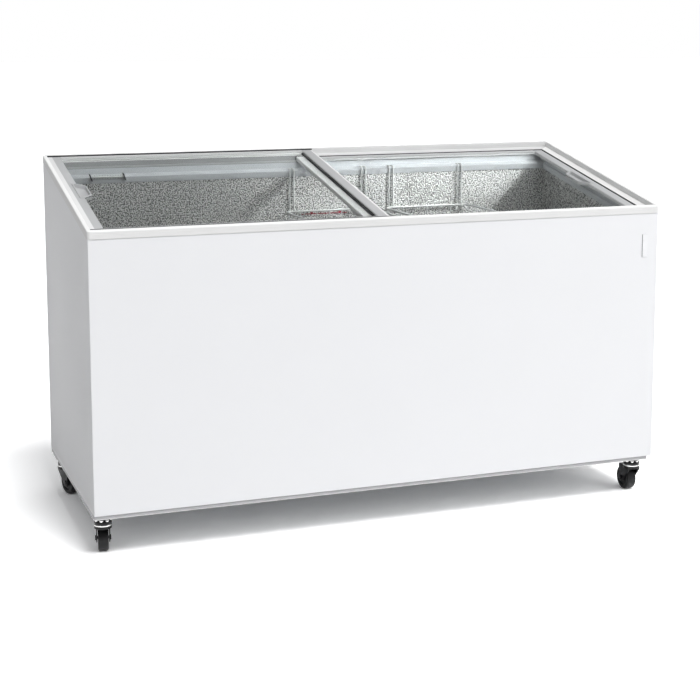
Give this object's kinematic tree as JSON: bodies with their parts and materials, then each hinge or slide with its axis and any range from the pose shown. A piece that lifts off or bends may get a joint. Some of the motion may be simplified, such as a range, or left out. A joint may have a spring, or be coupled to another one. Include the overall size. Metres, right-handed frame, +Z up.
{
  "type": "chest freezer",
  "caption": "Slant-top display chest freezer on swivel castors, with two sliding glass lids on two levels, a stepped metal tank and hanging wire baskets.",
  "frame": {"origin": "on the floor, at the centre of the freezer's outline", "axes": "+X along the length to the right as a shopper faces it, +Y from the low front to the high rear, +Z up"},
  "size_m": [1.555, 0.655, 0.942],
  "materials": {
    "white_steel": "satin",
    "zinc_steel": "satin",
    "base_rail": "satin",
    "foam": "matte",
    "stucco_aluminium": "satin",
    "frame_white": "satin",
    "throat_plastic": "satin",
    "black_seal": "matte",
    "lid_plastic": "satin",
    "lid_glass": "gloss",
    "white_wire": "gloss",
    "copper_pipe": "satin",
    "evaporator_aluminium": "satin",
    "black_metal": "satin",
    "condenser_metal": "satin",
    "fan_plastic": "satin",
    "drain_plastic": "satin",
    "control_plastic": "satin",
    "lamp_lens": "gloss",
    "badge_white": "satin",
    "thermometer_plastic": "satin",
    "castor_black": "satin",
    "castor_tyre": "satin"
  },
  "bodies": {
    "cabinet": {"badge_plate": "badge_white", "bay_sheet": "zinc_steel", "bottom_panel": "zinc_steel", "cable_gland": "control_plastic", "castor_bolts": "zinc_steel", "castor_heads": "zinc_steel", "castor_plates": "black_metal", "compressor": "black_metal", "compressor_cover": "white_steel", "compressor_feet": "black_seal", "condenser": "condenser_metal", "control_plate": "control_plastic", "drain_tube": "drain_plastic", "end_base_rails": "base_rail", "evaporator_coil": "evaporator_aluminium", "fan_motor": "black_metal", "fan_shroud": "condenser_metal", "filter_drier": "copper_pipe", "front_panel": "white_steel", "insulation_foam": "foam", "left_panel": "white_steel", "liner_ends": "stucco_aluminium", "liner_floor": "stucco_aluminium", "liner_long_walls": "stucco_aluminium", "long_base_rails": "base_rail", "pilot_lamps": "lamp_lens", "rear_panel": "white_steel", "refrigerant_pipes": "copper_pipe", "right_panel": "white_steel", "thermometer": "thermometer_plastic", "thermostat": "control_plastic", "throat_end_mouldings": "throat_plastic", "throat_long_mouldings": "throat_plastic", "top_frame_front": "frame_white", "top_frame_left": "frame_white", "top_frame_rear": "frame_white", "top_frame_right": "frame_white"},
    "upper_lid": {"upper_lid_bars": "lid_plastic", "upper_lid_end_strips": "lid_plastic", "upper_lid_glass": "lid_glass", "upper_lid_grip": "lid_plastic", "upper_lid_seals": "black_seal"},
    "lower_lid": {"lower_lid_bars": "lid_plastic", "lower_lid_end_strips": "lid_plastic", "lower_lid_glass": "lid_glass", "lower_lid_grip": "lid_plastic", "lower_lid_seals": "black_seal"},
    "left_basket": {"left_basket": "white_wire"},
    "right_basket": {"right_basket": "white_wire"},
    "drain_plug": {"drain_plug": "drain_plastic"},
    "thermostat_dial": {"thermostat_dial": "control_plastic"},
    "fan": {"fan_blade": "fan_plastic"},
    "castor_front_left": {"castor_front_left_fork": "castor_black"},
    "wheel_front_left": {"castor_front_left_wheel": "castor_tyre"},
    "castor_front_right": {"castor_front_right_fork": "castor_black"},
    "wheel_front_right": {"castor_front_right_wheel": "castor_tyre"},
    "castor_rear_left": {"castor_rear_left_fork": "castor_black"},
    "wheel_rear_left": {"castor_rear_left_wheel": "castor_tyre"},
    "castor_rear_right": {"castor_rear_right_fork": "castor_black"},
    "wheel_rear_right": {"castor_rear_right_wheel": "castor_tyre"}
  },
  "joints": [
    {"name": "upper_lid_slide", "type": "slide", "parent": "cabinet", "child": "upper_lid", "axis": [1, 0, 0], "range_m": [0, 0.766]},
    {"name": "lower_lid_slide", "type": "slide", "parent": "cabinet", "child": "lower_lid", "axis": [1, 0, 0], "range_m": [-0.678, 0]},
    {"name": "left_basket_slide", "type": "slide", "parent": "cabinet", "child": "left_basket", "axis": [1, 0, 0], "range_m": [-0.46, 0.015]},
    {"name": "right_basket_slide", "type": "slide", "parent": "cabinet", "child": "right_basket", "axis": [1, 0, 0], "range_m": [-0.015, 0.25]},
    {"name": "drain_plug_lift", "type": "slide", "parent": "cabinet", "child": "drain_plug", "axis": [0, 0, 1], "range_m": [0, 0.025]},
    {"name": "thermostat_turn", "type": "hinge", "parent": "cabinet", "child": "thermostat_dial", "pos_m": [0.776, 0.12, 0.33], "axis": [1, 0, 0], "range_deg": [-150, 150]},
    {"name": "fan_spin", "type": "hinge", "parent": "cabinet", "child": "fan", "pos_m": [0.655, -0.2, 0.243], "axis": [0, 1, 0], "continuous": true},
    {"name": "castor_front_left_swivel", "type": "hinge", "parent": "cabinet", "child": "castor_front_left", "pos_m": [-0.745, -0.2715, 0.08], "axis": [0, 0, 1], "continuous": true},
    {"name": "wheel_front_left_spin", "type": "hinge", "parent": "castor_front_left", "child": "wheel_front_left", "pos_m": [-0.74066, -0.24688, 0.0325], "axis": [0.9848, -0.1736, 0], "continuous": true},
    {"name": "castor_front_right_swivel", "type": "hinge", "parent": "cabinet", "child": "castor_front_right", "pos_m": [0.745, -0.2715, 0.08], "axis": [0, 0, 1], "continuous": true},
    {"name": "wheel_front_right_spin", "type": "hinge", "parent": "castor_front_right", "child": "wheel_front_right", "pos_m": [0.745, -0.2465, 0.0325], "axis": [1, 0, 0], "continuous": true},
    {"name": "castor_rear_left_swivel", "type": "hinge", "parent": "cabinet", "child": "castor_rear_left", "pos_m": [-0.745, 0.2715, 0.08], "axis": [0, 0, 1], "continuous": true},
    {"name": "wheel_rear_left_spin", "type": "hinge", "parent": "castor_rear_left", "child": "wheel_rear_left", "pos_m": [-0.73645, 0.24801, 0.0325], "axis": [-0.9397, -0.342, 0], "continuous": true},
    {"name": "castor_rear_right_swivel", "type": "hinge", "parent": "cabinet", "child": "castor_rear_right", "pos_m": [0.745, 0.2715, 0.08], "axis": [0, 0, 1], "continuous": true},
    {"name": "wheel_rear_right_spin", "type": "hinge", "parent": "castor_rear_right", "child": "wheel_rear_right", "pos_m": [0.73853, 0.24735, 0.0325], "axis": [-0.9659, 0.2588, 0], "continuous": true}
  ]
}
